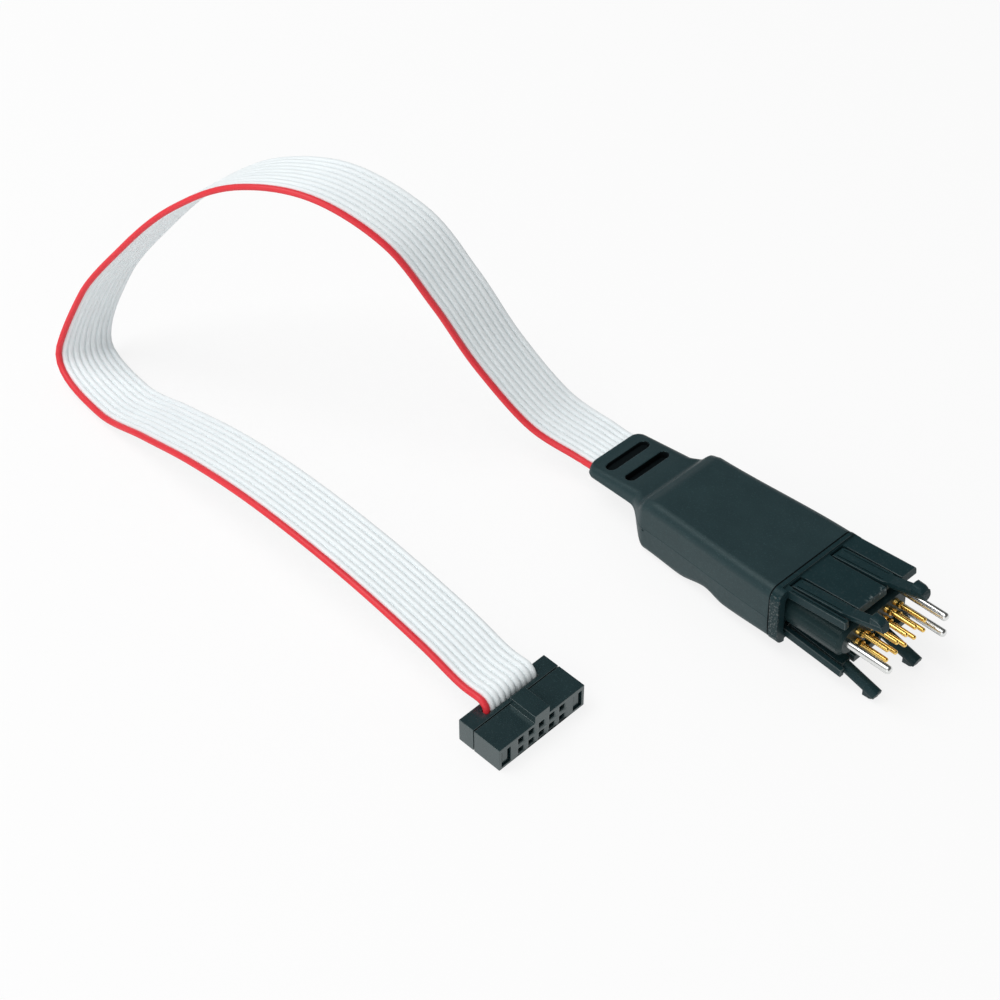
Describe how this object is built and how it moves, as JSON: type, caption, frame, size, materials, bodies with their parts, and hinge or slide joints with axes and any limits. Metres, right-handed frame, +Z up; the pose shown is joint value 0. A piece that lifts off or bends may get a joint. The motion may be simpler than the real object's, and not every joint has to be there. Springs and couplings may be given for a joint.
{
  "type": "spring-pin programming cable",
  "caption": "Programming cable: a snap-legged plug with sprung contact pins and alignment pins, a flat ribbon and a keyed two-row ribbon socket",
  "frame": {"origin": "on the floor under the middle of the plug", "axes": "+X out of the plug's nose, +Z up, +Y to the plug's far side"},
  "size_m": [0.0864, 0.0385, 0.027],
  "materials": {
    "boot_plastic": "fine matte moulding, bluish black",
    "shell_plastic": "fine matte moulding, bluish black",
    "block_plastic": "smooth moulding, black",
    "gold": "gold plating, satin",
    "pin_steel": "bright ground steel",
    "spring_steel": "drawn wire",
    "board": "green solder mask",
    "solder": "bright solder",
    "copper": "tinned copper",
    "ribbon": "pale grey vinyl with a red edge wire",
    "socket_plastic": "black moulding",
    "contact_gold": "gold-flashed sheet metal"
  },
  "bodies": {
    "plug": {"overmould_boot": "boot_plastic", "front_shell": "shell_plastic", "pin_block": "block_plastic", "alignment_pin_near": "pin_steel", "alignment_pin_far_upper": "pin_steel", "alignment_pin_far_lower": "pin_steel", "pin_barrels": "gold", "adapter_board": "board", "solder_joints": "solder", "conductor_ends": "copper", "ribbon_plug_end": "ribbon", "ribbon_cable": "ribbon", "ribbon_socket_end": "ribbon", "socket_body": "socket_plastic", "socket_cover": "socket_plastic", "socket_contacts": "contact_gold", "spring_1": "spring_steel", "spring_2": "spring_steel", "spring_3": "spring_steel", "spring_4": "spring_steel", "spring_5": "spring_steel", "spring_6": "spring_steel", "spring_7": "spring_steel", "spring_8": "spring_steel", "spring_9": "spring_steel", "spring_10": "spring_steel"},
    "leg_near_upper": {"leg_near_upper": "shell_plastic"},
    "leg_near_lower": {"leg_near_lower": "shell_plastic"},
    "leg_far_upper": {"leg_far_upper": "shell_plastic"},
    "leg_far_lower": {"leg_far_lower": "shell_plastic"},
    "plunger_1": {"plunger_1": "gold"},
    "plunger_2": {"plunger_2": "gold"},
    "plunger_3": {"plunger_3": "gold"},
    "plunger_4": {"plunger_4": "gold"},
    "plunger_5": {"plunger_5": "gold"},
    "plunger_6": {"plunger_6": "gold"},
    "plunger_7": {"plunger_7": "gold"},
    "plunger_8": {"plunger_8": "gold"},
    "plunger_9": {"plunger_9": "gold"},
    "plunger_10": {"plunger_10": "gold"}
  },
  "joints": [
    {"name": "leg_near_upper_bend", "type": "hinge", "parent": "plug", "child": "leg_near_upper", "pos_m": [0.00736, -0.003, 0.00691], "axis": [0, 1, 0], "range_deg": [0, 7], "stiffness_Nm_per_rad": 0.08},
    {"name": "leg_near_lower_bend", "type": "hinge", "parent": "plug", "child": "leg_near_lower", "pos_m": [0.00762, -0.003, 0.00207], "axis": [0, -1, 0], "range_deg": [0, 7], "stiffness_Nm_per_rad": 0.08},
    {"name": "leg_far_upper_bend", "type": "hinge", "parent": "plug", "child": "leg_far_upper", "pos_m": [0.00736, 0.00255, 0.00691], "axis": [0, 1, 0], "range_deg": [0, 7], "stiffness_Nm_per_rad": 0.08},
    {"name": "leg_far_lower_bend", "type": "hinge", "parent": "plug", "child": "leg_far_lower", "pos_m": [0.00762, 0.00255, 0.00207], "axis": [0, -1, 0], "range_deg": [0, 7], "stiffness_Nm_per_rad": 0.08},
    {"name": "plunger_1_slide", "type": "slide", "parent": "plug", "child": "plunger_1", "axis": [0.9985, 0, 0.0549], "range_m": [-0.0024, 0], "stiffness_N_per_m": 250, "deforming": ["spring_1"]},
    {"name": "plunger_2_slide", "type": "slide", "parent": "plug", "child": "plunger_2", "axis": [0.9985, 0, 0.0549], "range_m": [-0.0024, 0], "stiffness_N_per_m": 250, "deforming": ["spring_2"]},
    {"name": "plunger_3_slide", "type": "slide", "parent": "plug", "child": "plunger_3", "axis": [0.9985, 0, 0.0549], "range_m": [-0.0024, 0], "stiffness_N_per_m": 250, "deforming": ["spring_3"]},
    {"name": "plunger_4_slide", "type": "slide", "parent": "plug", "child": "plunger_4", "axis": [0.9985, 0, 0.0549], "range_m": [-0.0024, 0], "stiffness_N_per_m": 250, "deforming": ["spring_4"]},
    {"name": "plunger_5_slide", "type": "slide", "parent": "plug", "child": "plunger_5", "axis": [0.9985, 0, 0.0549], "range_m": [-0.0024, 0], "stiffness_N_per_m": 250, "deforming": ["spring_5"]},
    {"name": "plunger_6_slide", "type": "slide", "parent": "plug", "child": "plunger_6", "axis": [0.9985, 0, 0.0549], "range_m": [-0.0024, 0], "stiffness_N_per_m": 250, "deforming": ["spring_6"]},
    {"name": "plunger_7_slide", "type": "slide", "parent": "plug", "child": "plunger_7", "axis": [0.9985, 0, 0.0549], "range_m": [-0.0024, 0], "stiffness_N_per_m": 250, "deforming": ["spring_7"]},
    {"name": "plunger_8_slide", "type": "slide", "parent": "plug", "child": "plunger_8", "axis": [0.9985, 0, 0.0549], "range_m": [-0.0024, 0], "stiffness_N_per_m": 250, "deforming": ["spring_8"]},
    {"name": "plunger_9_slide", "type": "slide", "parent": "plug", "child": "plunger_9", "axis": [0.9985, 0, 0.0549], "range_m": [-0.0024, 0], "stiffness_N_per_m": 250, "deforming": ["spring_9"]},
    {"name": "plunger_10_slide", "type": "slide", "parent": "plug", "child": "plunger_10", "axis": [0.9985, 0, 0.0549], "range_m": [-0.0024, 0], "stiffness_N_per_m": 250, "deforming": ["spring_10"]}
  ]
}
